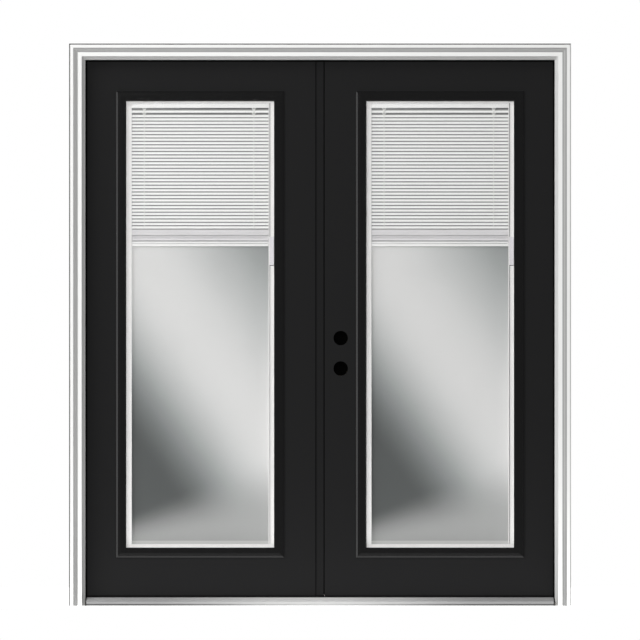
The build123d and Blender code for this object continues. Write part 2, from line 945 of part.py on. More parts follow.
head_jamb()
head_brickmould()
sill_base()
sill_deck()
sill_cap()
head_seal()
for side_name, side in sides.items():
    side_jamb(side, f"{side_name}_jamb")
    side_brickmould(side, f"{side_name}_brickmould")
    side_seal(side, f"{side_name}_jamb_seal")
    hinge_leaves(side, rabbet_face, 0, f"{side_name}_jamb_hinge_leaves")
    hinge_pins(side, f"{side_name}_hinge_pins")
    hinge_leaves(side, hinge_edge - leaf_thickness, 1, f"{side_name}_door_hinge_leaves")
    skin(side, (slab_front, core_front), f"{side_name}_exterior_skin")
    skin(side, (core_back, jamb_depth), f"{side_name}_interior_skin")
    hinge_stile(side, f"{side_name}_hinge_stile")
    lock_stile(side, f"{side_name}_lock_stile")
    slab_rail(side, (slab_top - top_rail_height, slab_top), f"{side_name}_top_rail")
    slab_rail(side, (slab_bottom, slab_bottom + bottom_rail_height), f"{side_name}_bottom_rail")
    core(side, f"{side_name}_core")
    lite_frame(side, slab_front, -1, f"{side_name}_exterior_lite_frame")
    lite_frame(side, jamb_depth, 1, f"{side_name}_interior_lite_frame")
    pane(side, (pane_front, cavity_front), f"{side_name}_outer_pane")
    pane(side, (cavity_back, pane_back), f"{side_name}_inner_pane")
    blind_frame(side, f"{side_name}_blind_frame")
    blind_headrail(side, f"{side_name}_blind_headrail")
    blind_slats(side, f"{side_name}_blind_slats")
    blind_stack(side, f"{side_name}_blind_stack")
    blind_bottom_rail(side, f"{side_name}_blind_bottom_rail")
    blind_operator(side, f"{side_name}_blind_operator")
    door_sweep(side, f"{side_name}_door_sweep")
lock_block()
astragal()
astragal_seal()
astragal_boot()
flush_bolt("top", "top_flush_bolt")
flush_bolt("bottom", "bottom_flush_bolt")
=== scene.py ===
import math
import random
import bpy
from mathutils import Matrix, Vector


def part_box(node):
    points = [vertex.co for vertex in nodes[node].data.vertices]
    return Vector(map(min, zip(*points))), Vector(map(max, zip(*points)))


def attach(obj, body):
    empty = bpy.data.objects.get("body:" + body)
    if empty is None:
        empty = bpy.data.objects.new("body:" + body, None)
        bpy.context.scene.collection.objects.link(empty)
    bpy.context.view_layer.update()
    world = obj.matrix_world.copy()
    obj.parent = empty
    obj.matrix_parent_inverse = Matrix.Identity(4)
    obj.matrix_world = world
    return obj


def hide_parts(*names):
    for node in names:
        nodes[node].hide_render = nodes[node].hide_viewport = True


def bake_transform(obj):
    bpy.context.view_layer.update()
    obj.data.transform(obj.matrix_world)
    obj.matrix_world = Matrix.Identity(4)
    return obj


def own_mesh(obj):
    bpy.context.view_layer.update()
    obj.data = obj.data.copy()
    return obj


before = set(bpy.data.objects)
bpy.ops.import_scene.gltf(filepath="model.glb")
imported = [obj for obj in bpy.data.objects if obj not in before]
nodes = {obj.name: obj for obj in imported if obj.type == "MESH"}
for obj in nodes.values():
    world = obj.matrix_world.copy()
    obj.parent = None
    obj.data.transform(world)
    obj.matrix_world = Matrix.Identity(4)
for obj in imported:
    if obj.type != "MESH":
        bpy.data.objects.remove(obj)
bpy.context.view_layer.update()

# Double door unit with blinds between the panes. Sizes are in metres. The outside faces -Y and the room +Y.
hands = {"left": -1, "right": 1}


# --- Finishes ---


class Amount:
    """A number that varies over a surface. Sums and products of amounts become maths nodes."""

    def __init__(self, finish, socket):
        self.finish = finish
        self.socket = socket

    def __add__(self, other):
        return self.finish.maths("ADD", self, other)

    def __sub__(self, other):
        return self.finish.maths("SUBTRACT", self, other)

    def __mul__(self, other):
        return self.finish.maths("MULTIPLY", self, other)


class Finish:
    """One finish on a Principled surface, with its nodes."""

    def __init__(self, name, colour, roughness, **more):
        self.material = bpy.data.materials.new(name)
        self.material.use_nodes = True
        self.tree = self.material.node_tree
        self.tree.nodes.clear()
        self.surface = self.node("ShaderNodeBsdfPrincipled")
        self.put("Base Color", (*colour, 1.0))
        self.put("Roughness", roughness)
        for socket, value in more.items():
            self.put(socket.replace("_", " "), value)
        self.node("ShaderNodeOutputMaterial", values={"Surface": self.surface.outputs[0]})
        self.places = self.node("ShaderNodeTexCoord").outputs["Object"]

    def node(self, kind, settings=None, values=None, stops=()):
        made = self.tree.nodes.new(kind)
        for name, value in (settings or {}).items():
            setattr(made, name, value)
        for number, (place, colour) in enumerate(stops):
            elements = made.color_ramp.elements
            stop = elements[number] if number < len(elements) else elements.new(place)
            stop.position = place
            stop.color = (*colour, 1.0)
        for name, value in (values or {}).items():
            self.feed(made.inputs[name], value)
        return made

    def feed(self, socket, value):
        source = value.socket if isinstance(value, Amount) else value
        if isinstance(source, bpy.types.NodeSocket):
            self.tree.links.new(source, socket)
        else:
            socket.default_value = source

    def put(self, socket, value):
        self.feed(self.surface.inputs[socket], value)

    def maths(self, operation, first, second):
        made = self.node("ShaderNodeMath", {"operation": operation}, {0: first, 1: second})
        return Amount(self, made.outputs[0])

    def noise(self, scale, stretch=(1, 1, 1), detail=3.0, roughness=0.5):
        """Noise from 0 to 1, pulled out along the axes where stretch is small."""
        mapped = self.node("ShaderNodeMapping", values={"Vector": self.places, "Scale": stretch})
        values = {"Vector": mapped.outputs[0], "Scale": scale, "Detail": detail, "Roughness": roughness}
        return Amount(self, self.node("ShaderNodeTexNoise", values=values).outputs["Fac"])

    def along(self, axis):
        """The place on one axis, in metres."""
        parts = self.node("ShaderNodeSeparateXYZ", values={"Vector": self.places})
        return Amount(self, parts.outputs[axis])

    def from_middle(self, axis):
        """The distance from the unit's middle along one axis, in metres."""
        return self.maths("ABSOLUTE", self.along(axis), 0.0)

    def across_strip(self):
        """The place across a strip, from 0 at its first edge to 1 at its second."""
        flat = self.node("ShaderNodeUVMap").outputs["UV"]
        parts = self.node("ShaderNodeSeparateXYZ", values={"Vector": flat})
        return Amount(self, parts.outputs["Y"])

    def ranged(self, amount, start, end, first=0.0, last=1.0, kind="SMOOTHSTEP"):
        values = {"Value": amount, "From Min": start, "From Max": end, "To Min": first, "To Max": last}
        made = self.node("ShaderNodeMapRange", {"interpolation_type": kind}, values)
        return Amount(self, made.outputs[0])

    def band(self, amount, start, end, soft):
        """1 between start and end and 0 outside, with soft edges that lie inside them."""
        return self.ranged(amount, start, start + soft) * self.ranged(amount, end - soft, end, 1.0, 0.0)

    def mixed(self, share, first, second):
        """A colour between two colours."""
        values = {0: share, 6: first, 7: second}
        return self.node("ShaderNodeMix", {"data_type": "RGBA"}, values).outputs[2]

    def relief(self, height, distance, strength=1.0):
        values = {"Height": height, "Distance": distance, "Strength": strength}
        self.put("Normal", self.node("ShaderNodeBump", values=values).outputs[0])


def toned(colour, share=1.0):
    """A colour made lighter or darker, as a socket takes it."""
    return (*[part * share for part in colour], 1.0)


def grey(level):
    return toned((level, level, level))


def shades(colour, change):
    """A colour and the same colour made lighter or darker, as mixing ends."""
    return toned(colour), toned(colour, change)


def painted(name, colour, roughness, texture, depth, change=0.94, joint=None, **more):
    """Sprayed paint: a fine orange peel, soft cloudy tone and gloss, with a band of painted shade in the
    joint if it has one.
    """
    finish = Finish(name, colour, roughness, **more)
    clouds = finish.noise(5.0, detail=4.0)
    peel = finish.noise(texture, detail=2.0)
    paint = finish.mixed(clouds, *shades(colour, change))
    if joint:
        paint = finish.mixed(finish.band(finish.along("X"), *joint, 0.001), paint, painted_joint_shade)
    finish.put("Base Color", paint)
    finish.put("Roughness", clouds * 0.1 + peel * 0.06 + (roughness - 0.08))
    finish.relief(peel, depth)
    return finish


def door_paint(name, colour, texture):
    """The slab's black paint, with painted shade where the astragal meets the passive door."""
    return painted(name, colour, 0.34, texture, 0.00002, joint=astragal_joint, Specular_IOR_Level=0.15)


def shade_near_ground(finish, where):
    """The share of painted shade on part of the frame: most at the ground, none above a given height."""
    return finish.ranged(finish.along("Z"), 0.0, ground_shade_height, ground_shade_share, 0.0) * where


def brushed_paint(name, colour, stretch, painted_light_share):
    """Primed timber: faint strokes and grain along the board, and on its face outside the slab a tone scaled
    by a share: painted shade where the share is below 1, a painted highlight where it is above.
    """
    finish = Finish(name, colour, 0.42, Specular_IOR_Level=0.4)
    strokes = finish.noise(260.0, stretch, detail=4.0)
    clouds = finish.noise(3.0, detail=3.0)
    primed = finish.mixed(strokes * 0.5 + clouds * 0.5, *shades(colour, 0.93))
    outdoors = finish.ranged(finish.along("Y"), slab_front - 0.001, slab_front, 1.0, 0.0)
    # Painted shade and painted highlight on the jamb's outdoor face, scaled by the share.
    edge_painted_light = finish.mixed(outdoors, primed, toned(colour, painted_light_share))
    finish.put("Base Color", finish.mixed(shade_near_ground(finish, outdoors), edge_painted_light, ground_shade_grey))
    finish.put("Roughness", strokes * 0.12 + clouds * 0.08 + 0.32)
    finish.relief(strokes, 0.00012, 0.6)
    return finish


def moulding_paint(name, colour, stretch, axis, outer, bevel_shade):
    """White paint, with painted shade on the moulding's ogee, a little lighter across its crest, and on its
    back bevel, and more painted shade near the ground.
    """
    finish = Finish(name, colour, 0.42, Specular_IOR_Level=0.4)
    strokes = finish.noise(260.0, stretch, detail=4.0)
    across = finish.from_middle(axis)
    ogee = finish.band(across, outer - ogee_start, outer - ogee_end, 0.001)
    crest = finish.band(across, outer - crest_start, outer - crest_end, 0.0045)
    unshaded_white = finish.mixed(strokes, *shades(colour, 0.95))
    # Painted shade on the ogee's slopes, a little lighter on its crest.
    painted_light_and_wear = finish.mixed(crest, toned(colour, ogee_shade), toned(colour, crest_shade))
    slopes = finish.mixed(ogee, unshaded_white, painted_light_and_wear)
    bevel = finish.ranged(across, outer - bevel_start, outer - bevel_start + 0.0006)
    edged = finish.mixed(bevel, slopes, toned(colour, bevel_shade))
    finish.put("Base Color", finish.mixed(shade_near_ground(finish, ogee + bevel), edged, ground_shade_grey))
    finish.put("Roughness", strokes * 0.12 + ogee * 0.08 + 0.34)
    finish.relief(strokes, 0.0001, 0.5)
    return finish


def slat_paint(name, colour):
    """Slat enamel, with painted shade along the strip that lies under the next slat's edge."""
    finish = Finish(name, colour, 0.4)
    peel = finish.noise(1500.0, detail=2.0)
    clouds = finish.noise(6.0, (1.0, 1.0, 3.0), detail=4.0)
    covered = finish.ranged(finish.across_strip(), *covered_edge)
    unshaded_enamel = finish.mixed(clouds, *shades(colour, 0.97))
    finish.put("Base Color", finish.mixed(covered, unshaded_enamel, toned(colour, covered_shade)))
    finish.put("Roughness", clouds * 0.1 + peel * 0.06 + 0.32)
    finish.relief(peel, 0.00001)
    return finish


def metal(name, colour, roughness, stretch):
    """Metal with fine marks drawn along its length."""
    finish = Finish(name, colour, roughness, Metallic=1.0)
    marks = finish.noise(900.0, stretch, detail=3.0)
    smudges = finish.noise(9.0, detail=4.0)
    finish.put("Base Color", finish.mixed(marks * 0.6 + smudges * 0.4, *shades(colour, 0.85)))
    finish.put("Roughness", marks * 0.14 + smudges * 0.16 + (roughness - 0.12))
    finish.relief(marks, 0.00003, 0.5)
    return finish


def sawn(name, colour, scale, stretch, change, painted_edges=()):
    """Bare timber with its grain drawn out, or foam. It is painted black on the edges at the given places."""
    finish = Finish(name, colour, 0.75)
    grain = finish.noise(scale, stretch, detail=6.0, roughness=0.6)
    surface = finish.mixed(finish.ranged(grain, 0.3, 0.7), *shades(colour, change))
    across = finish.from_middle("X")
    for place in painted_edges:
        away = finish.maths("ABSOLUTE", across - place, 0.0)
        surface = finish.mixed(finish.ranged(away, 0.0002, 0.0005, 1.0, 0.0), surface, grey(0.012))
    finish.put("Base Color", surface)
    finish.put("Roughness", grain * 0.2 + 0.62)
    finish.relief(grain, 0.0004, 0.7)
    return finish


def mill_aluminium():
    """The sill's deck: drawn lengthwise, with a painted reflection brightest at mid length and some wear,
    painted shade in its grooves and step and under the cap's lip, darker below the nose's top, and painted
    shadow lines at both jambs and along its back.
    """
    finish = Finish("mill_aluminium", (0.62, 0.62, 0.61), 0.42, Metallic=0.4)
    marks = finish.noise(700.0, (0.02, 1.0, 1.0), detail=4.0)
    wear = finish.noise(6.0, (1.0, 3.0, 3.0), detail=5.0)
    across = finish.from_middle("X")
    # Painted reflection with some wear: bright at mid length, dull towards the jambs.
    painted_light_and_wear = finish.ranged(across, 0.0, 0.72) + wear * 0.12
    metal_tone = finish.mixed(painted_light_and_wear, (0.97, 0.97, 0.96, 1.0), grey(0.47))
    height = finish.along("Z")
    groove = finish.band(height, 0.0030, 0.0074, 0.0006)
    step = finish.band(height, 0.0144, 0.0178, 0.0006)
    nose = finish.ranged(height, 0.0140, 0.0160, 1.0, 0.0)
    lip = finish.ranged(height, 0.0288, 0.0294)
    # Painted shade in the groove and the step and under the cap's lip, and darker below the nose's top.
    painted_deck_shade = groove * painted_light_and_wear * 0.6 + step * 0.4 + nose * 0.36 + lip * 0.55
    drawn = finish.mixed(marks * 0.3, finish.mixed(painted_deck_shade, metal_tone, grey(0.05)), grey(0.2))
    # Painted shadow lines where the deck meets each jamb and along the deck's top edge.
    painted_gap_shadow = finish.ranged(across, jamb_shadow_line, jamb_shadow_line + 0.0005)
    painted_gap_shadow += finish.ranged(height, deck_top - 0.0008, deck_top - 0.0006)
    finish.put("Base Color", finish.mixed(painted_gap_shadow, drawn, grey(0.004)))
    finish.put("Roughness", marks * 0.18 + wear * 0.12 + 0.26)
    finish.relief(marks, 0.00006, 0.6)
    return finish


def clear_glass():
    """Clear glass: it mirrors more the flatter it is seen."""
    finish = Finish("clear_glass", (0.95, 0.95, 0.95), 0.02, Metallic=1.0)
    facing = Amount(finish, finish.node("ShaderNodeLayerWeight", values={"Blend": 0.5}).outputs["Facing"])
    flat = facing * facing
    mirror = flat * flat * 0.9 + 0.035
    smudges = finish.noise(7.0, detail=4.0)
    finish.put("Roughness", finish.ranged(smudges, 0.45, 0.8, 0.01, 0.08))
    finish.put("Alpha", mirror + finish.ranged(smudges, 0.5, 0.9, 0.0, 0.012))
    return finish


def glass_tone(level):
    """A grey that turns slightly green where it is dark, as glass does."""
    return level * (0.9 + 0.14 * level), level, level * 0.99


def painted_reflection_glass(side):
    """Glass whose colour is a painted reflection in soft slanting bands, with a paler foot and a thin pale
    rim below, under a clear coat.
    """
    finish = Finish(f"{side}_painted_reflection_glass", (0.6, 0.6, 0.6), 0.3, Coat_Weight=0.35, Coat_Roughness=0.06)
    across = finish.along("X") - hands[side] * lite_centre
    up = finish.along("Z")
    slant = across + up * slant_rise - slant_start
    # Stops of the painted reflection's bands, from dark to pale.
    dark = ((0.0, 0.062), (0.08, 0.14), (0.167, 0.33), (0.25, 0.55), (0.33, 0.69))
    pale = ((0.42, 0.73), (0.54, 0.68), (0.65, 0.55), (0.78, 0.39), (1.0, 0.10))
    stops = [(place, glass_tone(level)) for place, level in dark + pale]
    place = finish.ranged(slant, -0.2, 1.0, kind="LINEAR")
    bands = finish.node("ShaderNodeValToRGB", values={"Fac": place}, stops=stops)
    bands.color_ramp.interpolation = "B_SPLINE"
    foot = finish.ranged(up, across * 0.16 + 0.275, across * 0.44 + 0.46, 1.0, 0.0)
    lower = finish.mixed(foot * 0.92, bands.outputs[0], foot_reflection)
    rim = finish.ranged(up, rim_top - 0.0012, rim_top, 1.0, 0.0)
    painted_reflection = finish.mixed(rim, lower, rim_reflection)
    grain = finish.noise(1800.0, detail=1.0)
    finish.put("Base Color", finish.mixed(grain * 0.05, painted_reflection, grey(0.9)))
    finish.put("Roughness", grain * 0.08 + 0.26)
    finish.relief(grain, 0.00001, 0.4)
    return finish


def moulded(name, colour, roughness, **more):
    """Moulded or extruded plastic with a fine spark-eroded grain."""
    finish = Finish(name, colour, roughness, **more)
    grain = finish.noise(1500.0, detail=2.0)
    flow = finish.noise(14.0, (1.0, 1.0, 0.4), detail=3.0)
    finish.put("Base Color", finish.mixed(flow, *shades(colour, 0.95)))
    finish.put("Roughness", grain * 0.1 + flow * 0.08 + (roughness - 0.09))
    finish.relief(grain, 0.00002, 0.5)
    return finish


mould_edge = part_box("head_brickmould")[1]
stile_edges = (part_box("right_lock_stile")[0].x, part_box("right_hinge_stile")[1].x)
pane_low, pane_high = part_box("right_outer_pane")
lite_centre = (pane_low.x + pane_high.x) / 2
slab_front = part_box("right_exterior_skin")[0].y
deck_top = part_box("sill_deck")[1].z

# Places in the brickmould's section, measured in from its outer edge, and the tones of their painted shade
# beside the white.
ogee_start, ogee_end = 0.0326, 0.0150
crest_start, crest_end = 0.0290, 0.0190
bevel_start = 0.0044
ogee_shade, crest_shade = 0.38, 0.494

# The band of painted shade beside the astragal's edge on the passive door, and its colour.
astragal_joint = (-0.0190, -0.0116)
painted_joint_shade = (0.0065, 0.0065, 0.0067, 1.0)
# Where the painted shadow line at each jamb begins.
jamb_shadow_line = 0.8728
# Painted shade on the lower frame, darkest at the ground.
ground_shade_height = 0.5
ground_shade_share = 0.42
ground_shade_grey = grey(0.08)
# The strip across each slat that gets painted shade, and how dark it is.
covered_edge = (0.46, 0.72)
covered_shade = 0.27
# Where the painted reflection's bands slant and where its pale foot and rim lie.
slant_rise = 0.73
slant_start = 0.4169
foot_reflection = (0.37, 0.375, 0.37, 1.0)
rim_reflection = (0.52, 0.52, 0.51, 1.0)
rim_top = 0.2424

white = (0.87, 0.87, 0.86)
primer = (0.47, 0.47, 0.465)
timber = (0.50, 0.34, 0.19)
grain_up = (1.0, 1.0, 0.015)
grain_level = (0.015, 1.0, 1.0)

finishes = {
    # Painted light on each jamb's outdoor face: painted shade on the left and head jambs, a painted highlight
    # on the right.
    "left_primer": brushed_paint("left_primer", primer, grain_up, 0.67),
    "right_primer": brushed_paint("right_primer", primer, grain_up, 1.26),
    "head_primer": brushed_paint("head_primer", primer, grain_level, 0.88),
    # The outer bevel's painted shade per moulding: darkest at the head and the left, lightest at the right.
    "left_moulding": moulding_paint("left_moulding", white, grain_up, "X", mould_edge.x, 0.12),
    "right_moulding": moulding_paint("right_moulding", white, grain_up, "X", mould_edge.x, 0.62),
    "head_moulding": moulding_paint("head_moulding", white, grain_level, "Z", mould_edge.z, 0.08),
    "sill_aluminium": mill_aluminium(),
    "sill_composite": sawn("sill_composite", (0.42, 0.38, 0.33), 90.0, (0.06, 1.0, 1.0), 0.7),
    "cap_vinyl": moulded("cap_vinyl", (0.006, 0.006, 0.006), 0.5, Specular_IOR_Level=0.15),
    "seal_foam": moulded("seal_foam", (0.002, 0.002, 0.002), 0.9, Specular_IOR_Level=0.1),
    "hinge_steel": metal("hinge_steel", (0.60, 0.58, 0.54), 0.34, (1.0, 1.0, 0.03)),
    "bolt_steel": metal("bolt_steel", (0.50, 0.50, 0.50), 0.3, (1.0, 1.0, 0.05)),
    "slab_paint": door_paint("slab_paint", (0.0130, 0.0130, 0.0133), 1100.0),
    "astragal_paint": door_paint("astragal_paint", (0.0125, 0.0125, 0.0128), 900.0),
    "lite_plastic": moulded("lite_plastic", (0.0056, 0.0056, 0.0057), 0.22, Specular_IOR_Level=0.35),
    "stile_timber": sawn("stile_timber", timber, 60.0, (1.0, 1.0, 0.05), 0.62, stile_edges),
    "rail_timber": sawn("rail_timber", timber, 60.0, (0.05, 1.0, 1.0), 0.62),
    "core_foam": sawn("core_foam", (0.70, 0.62, 0.42), 220.0, (1.0, 1.0, 1.0), 0.85),
    "clear_glass": clear_glass(),
    "track_white": moulded("track_white", (0.93, 0.92, 0.91), 0.45),
    "rail_white": moulded("rail_white", (0.94, 0.94, 0.93), 0.35),
    "slat_white": slat_paint("slat_white", (0.93, 0.93, 0.92)),
    "stack_white": painted("stack_white", (0.86, 0.85, 0.86), 0.42, 1500.0, 0.00001, 0.95),
    "ladder_thread": moulded("ladder_thread", (0.88, 0.88, 0.86), 0.8),
    "operator_plastic": moulded("operator_plastic", (0.82, 0.80, 0.83), 0.4),
    "sweep_rubber": moulded("sweep_rubber", (0.006, 0.006, 0.006), 0.7, Specular_IOR_Level=0.15),
    # Near-black, for the discs that stand in for the shade inside the bores.
    "bore_shade_black": moulded("bore_shade_black", (0.0008, 0.0008, 0.0008), 0.9, Specular_IOR_Level=0.02),
}
# Each inner pane's glass carries a painted reflection.
for side in hands:
    finishes[f"{side}_painted_reflection_glass"] = painted_reflection_glass(side)


def coat(piece, finish):
    """Give a piece one finish all over."""
    piece.data.materials.clear()
    piece.data.materials.append(finishes[finish].material)


plain_nodes = {
    "left_jamb": "left_primer",
    "right_jamb": "right_primer",
    "head_jamb": "head_primer",
    "left_brickmould": "left_moulding",
    "right_brickmould": "right_moulding",
    "head_brickmould": "head_moulding",
    "sill_base": "sill_composite",
    "sill_deck": "sill_aluminium",
    "sill_cap": "cap_vinyl",
    "right_lock_block": "stile_timber",
    "astragal": "astragal_paint",
    "astragal_boot": "seal_foam",
}
door_nodes = {
    "exterior_skin": "slab_paint",
    "interior_skin": "slab_paint",
    "hinge_stile": "stile_timber",
    "lock_stile": "stile_timber",
    "top_rail": "rail_timber",
    "bottom_rail": "rail_timber",
    "core": "core_foam",
    "exterior_lite_frame": "lite_plastic",
    "interior_lite_frame": "lite_plastic",
    "outer_pane": "clear_glass",
    "blind_frame": "track_white",
}
for node, finish in plain_nodes.items():
    coat(nodes[node], finish)
for side in hands:
    for node, finish in door_nodes.items():
        coat(nodes[f"{side}_{node}"], finish)
    coat(nodes[f"{side}_inner_pane"], f"{side}_painted_reflection_glass")


# --- Tools for modelling ---


def put_down_tools():
    """Leave edit mode with nothing selected."""
    if bpy.context.mode != "OBJECT":
        bpy.ops.object.mode_set(mode="OBJECT")
    bpy.ops.object.select_all(action="DESELECT")


def pick(piece):
    put_down_tools()
    piece.select_set(True)
    bpy.context.view_layer.objects.active = piece


def named(name):
    piece = bpy.context.object
    piece.name = name
    piece.data.name = name
    return piece


def set_down(piece):
    """Keep the piece's place and size in its mesh."""
    pick(piece)
    bpy.ops.object.transform_apply(location=True, rotation=True, scale=True)
    return piece


def bar(name, low, high):
    """A block between two corners, to be shaped."""
    put_down_tools()
    centre = [(a + b) / 2 for a, b in zip(low, high)]
    lengths = [abs(b - a) for a, b in zip(low, high)]
    bpy.ops.mesh.primitive_cube_add(size=1, location=centre)
    piece = named(name)
    piece.scale = lengths
    return set_down(piece)


turns = {"X": (0, math.pi / 2, 0), "Y": (math.pi / 2, 0, 0), "Z": (0, 0, 0)}
sharp = 40


def spread(first, last, count):
    """Evenly spaced places from the first to the last."""
    return [first + (last - first) * number / (count - 1) for number in range(count)]


def rod(name, centre, radius, length, axis, sides):
    """A round bar along an axis."""
    put_down_tools()
    bpy.ops.mesh.primitive_cylinder_add(
        vertices=sides, radius=radius, depth=length, location=centre, rotation=turns[axis]
    )
    return set_down(named(name))


def rounded(piece, width, segments):
    """Round every sharp edge."""
    pick(piece)
    edge = piece.modifiers.new("rounding", "BEVEL")
    edge.width = width
    edge.segments = segments
    edge.limit_method = "ANGLE"
    edge.angle_limit = math.radians(sharp)
    bpy.ops.object.modifier_apply(modifier=edge.name)
    return smooth(piece)


def smooth(piece, angle=sharp):
    """Shade a piece smooth, but for the edges that turn by more than the angle in degrees."""
    pick(piece)
    bpy.ops.object.shade_smooth_by_angle(angle=math.radians(angle))
    return piece


def select_faces(piece, chosen):
    """Select the faces whose middle and normal pass a test, and go into edit mode."""
    pick(piece)
    bpy.ops.object.mode_set(mode="EDIT")
    bpy.ops.mesh.select_mode(type="FACE")
    bpy.ops.mesh.select_all(action="DESELECT")
    bpy.ops.object.mode_set(mode="OBJECT")
    for face in piece.data.polygons:
        face.select = chosen(face.center, face.normal)
    bpy.ops.object.mode_set(mode="EDIT")


def sink(piece, chosen, border, depth):
    """Sink a panel into the chosen faces, or raise it where the depth is negative."""
    select_faces(piece, chosen)
    bpy.ops.mesh.inset(thickness=border, depth=-depth)
    put_down_tools()
    return piece


def copied(piece, name, shift):
    """A copy with a mesh of its own, moved by a shift."""
    twin = piece.copy()
    twin.data = piece.data.copy()
    bpy.context.scene.collection.objects.link(twin)
    twin.name = name
    twin.location = shift
    return set_down(twin)


def joined(name, pieces):
    pick(pieces[0])
    for piece in pieces:
        piece.select_set(True)
    bpy.ops.object.join()
    return named(name)


def hung(piece, finish, body, slot, *replaced):
    """Finish a piece, and let it move with a body in place of the nodes it stands for."""
    coat(piece, finish)
    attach(piece, body)
    if replaced:
        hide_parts(*replaced)
    return piece


# --- Weather seals ---


cap_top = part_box("sill_cap")[1].z
lock_edge = 0.017
sweep_base = 0.0014
fin_count = 4
fin_half = 0.0007
fin_tip = 0.4


def seal(node, body, reach=0.0):
    """A foam strip in a smooth skin, rounded where it meets the slab, and swelled to reach it."""
    low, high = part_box(node)
    high.x += reach
    piece = rounded(bar(f"{node}_strip", low, high), 0.0009, 3)
    hung(piece, "seal_foam", body, "seal_foam", node)


for node in ("left_jamb_seal", "right_jamb_seal", "head_seal"):
    seal(node, "frame")
seal("astragal_seal", "left_door", lock_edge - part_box("astragal_seal")[1].x)


def door_sweep(side):
    """A base under the slab and four fins that thin out down to the sill's cap."""
    node = f"{side}_door_sweep"
    low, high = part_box(node)
    near, far = sorted((hands[side] * lock_edge, low.x if side == "left" else high.x))
    parts = [rounded(bar("base", (near, low.y, high.z - sweep_base), (far, high.y, high.z)), 0.0003, 2)]
    for y in spread(low.y + fin_half, high.y - fin_half, fin_count):
        fin = bar("fin", (near, y - fin_half, cap_top), (far, y + fin_half, high.z - 0.001))
        select_faces(fin, lambda centre, normal: normal.z < -0.9)
        bpy.ops.transform.resize(value=(1, fin_tip, 1), center_override=(0, y, 0))
        put_down_tools()
        parts.append(fin)
    hung(joined(f"{side}_sweep", parts), "sweep_rubber", f"{side}_door", "sweep_rubber", node)


for side in hands:
    door_sweep(side)

boot_low, boot_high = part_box("astragal_boot")
lip_low = (-lock_edge - 0.001, boot_low.y, cap_top)
lip_high = (lock_edge - 0.0001, boot_low.y + 0.002, boot_high.z - 0.0001)
hung(rounded(bar("boot_lip", lip_low, lip_high), 0.0004, 2), "seal_foam", "left_door", "seal_foam")


# --- Hinges ---

hinge_length = 0.1016
hinge_count = 3
knuckle_count = 5
knuckle_radius = 0.00635
knuckle_gap = 0.0004
leaf_thickness = 0.0024
jamb_leaf_face = 0.8838
door_leaf_face = 0.8782
pin_radius = 0.00305
button_radius = 0.0054
button_height = 0.0026
screw_radius = 0.0042
screw_height = 0.0008
jamb_screw_face = 0.8836
door_screw_face = 0.8808
screw_places = ((-0.036, 0.092), (0.0, 0.100), (0.036, 0.092))


def hinge_places(side):
    """Middle heights of the hinges, from the pins' box."""
    low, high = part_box(f"{side}_hinge_pins")
    end = button_height + hinge_length / 2
    return spread(low.z + end, high.z - end, hinge_count)


def hinge_axis(side):
    low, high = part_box(f"{side}_hinge_pins")
    return (low.x + high.x) / 2, (low.y + high.y) / 2


def leaf(side, node, share, height):
    """One leaf with rounded corners and its share of the knuckles."""
    low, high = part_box(node)
    x, y = hinge_axis(side)
    face = jamb_leaf_face if share == 0 else door_leaf_face
    inside, outside = sorted((hands[side] * face, hands[side] * (face + leaf_thickness)))
    bottom = height - hinge_length / 2
    plate = bar("plate", (inside, low.y, bottom), (outside, y - 0.0035, bottom + hinge_length))
    parts = [rounded(plate, 0.0004, 1)]
    pitch = hinge_length / knuckle_count
    for number in range(share, knuckle_count, 2):
        middle = bottom + (number + 0.5) * pitch
        barrel = rod("barrel", (x, y, middle), knuckle_radius, pitch - knuckle_gap, "Z", 32)
        parts.append(rounded(barrel, 0.0003, 1))
    return parts


def screw(x, y, height, facing):
    """A countersunk screw head with its recess, facing along X."""
    head = rod("head", (x, y, height), screw_radius, screw_height, "X", 20)
    sink(head, lambda centre, normal: normal.x * facing > 0.9, 0.0022, 0.0005)
    return smooth(head)


def hinge_set(side):
    """Leaves and screws on jamb and door, with knuckles in turn, and the pins, which stay in the frame."""
    sign = hands[side]
    for node, share, body, face, facing in (
        (f"{side}_jamb_hinge_leaves", 0, "frame", jamb_screw_face, -sign),
        (f"{side}_door_hinge_leaves", 1, f"{side}_door", door_screw_face, sign),
    ):
        parts, heads = [], []
        for height in hinge_places(side):
            parts += leaf(side, node, share, height)
            for step, y in screw_places:
                heads.append(screw(sign * face, y, height + step, facing))
        hung(joined(f"{node}_steel", parts), "hinge_steel", body, "hinge_steel", node)
        hung(joined(f"{node}_screws", heads), "bolt_steel", body, "hinge_steel")
    x, y = hinge_axis(side)
    parts = []
    for height in hinge_places(side):
        parts.append(rod("shank", (x, y, height), pin_radius, hinge_length, "Z", 24))
        for end in (-1, 1):
            seat = height + end * (hinge_length + button_height) / 2
            button = rod("button", (x, y, seat), button_radius, button_height, "Z", 28)
            parts.append(rounded(button, 0.0009, 3))
    hung(joined(f"{side}_pins", parts), "bolt_steel", "frame", "hinge_steel", f"{side}_hinge_pins")


for side in hands:
    hinge_set(side)


# --- Blinds ---

